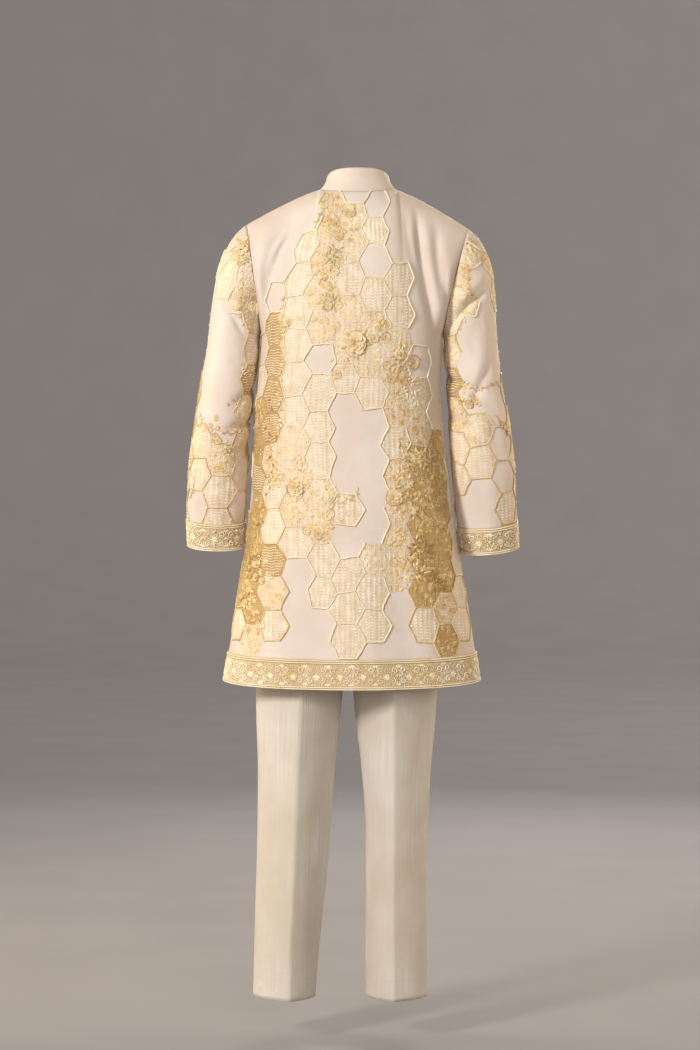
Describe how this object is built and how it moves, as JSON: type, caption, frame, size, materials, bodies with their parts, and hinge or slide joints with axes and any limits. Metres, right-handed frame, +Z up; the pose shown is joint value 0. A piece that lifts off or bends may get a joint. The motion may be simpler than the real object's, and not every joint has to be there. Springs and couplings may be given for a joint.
{
  "type": "kurta pajama set",
  "caption": "Worn south asian men's kurta with raised honeycomb and flower embroidery, gold hem and cuff bands and a stand collar, over straight creased trousers.",
  "frame": {"origin": "midway between the neck ends of the two shoulder seams, where the set is held by its wearer", "axes": "+Z up, -Y is the front of the garment, +X is the wearer's left"},
  "size_m": [0.6279, 0.3034, 1.5532],
  "materials": {
    "kurta_silk": "soft silk blend with cream thread embroidery",
    "gold_embroidery": "dense gold thread with small pearls",
    "button_pearl": "pearl gloss",
    "trouser_cotton": "matt, fine self stripe"
  },
  "bodies": {
    "root": {"kurta_back": "kurta_silk", "kurta_front": "kurta_silk", "kurta_collar": "kurta_silk", "kurta_placket": "kurta_silk", "kurta_sleeve_left": "kurta_silk", "kurta_sleeve_right": "kurta_silk", "kurta_hem_band_back": "gold_embroidery", "kurta_hem_band_front": "gold_embroidery", "kurta_cuff_band_left": "gold_embroidery", "kurta_cuff_band_right": "gold_embroidery", "kurta_button_1": "button_pearl", "kurta_button_2": "button_pearl", "kurta_button_3": "button_pearl", "kurta_button_4": "button_pearl", "kurta_button_5": "button_pearl", "trouser_left_back": "trouser_cotton", "trouser_left_front": "trouser_cotton", "trouser_right_back": "trouser_cotton", "trouser_right_front": "trouser_cotton", "trouser_waistband": "trouser_cotton"}
  },
  "joints": []
}
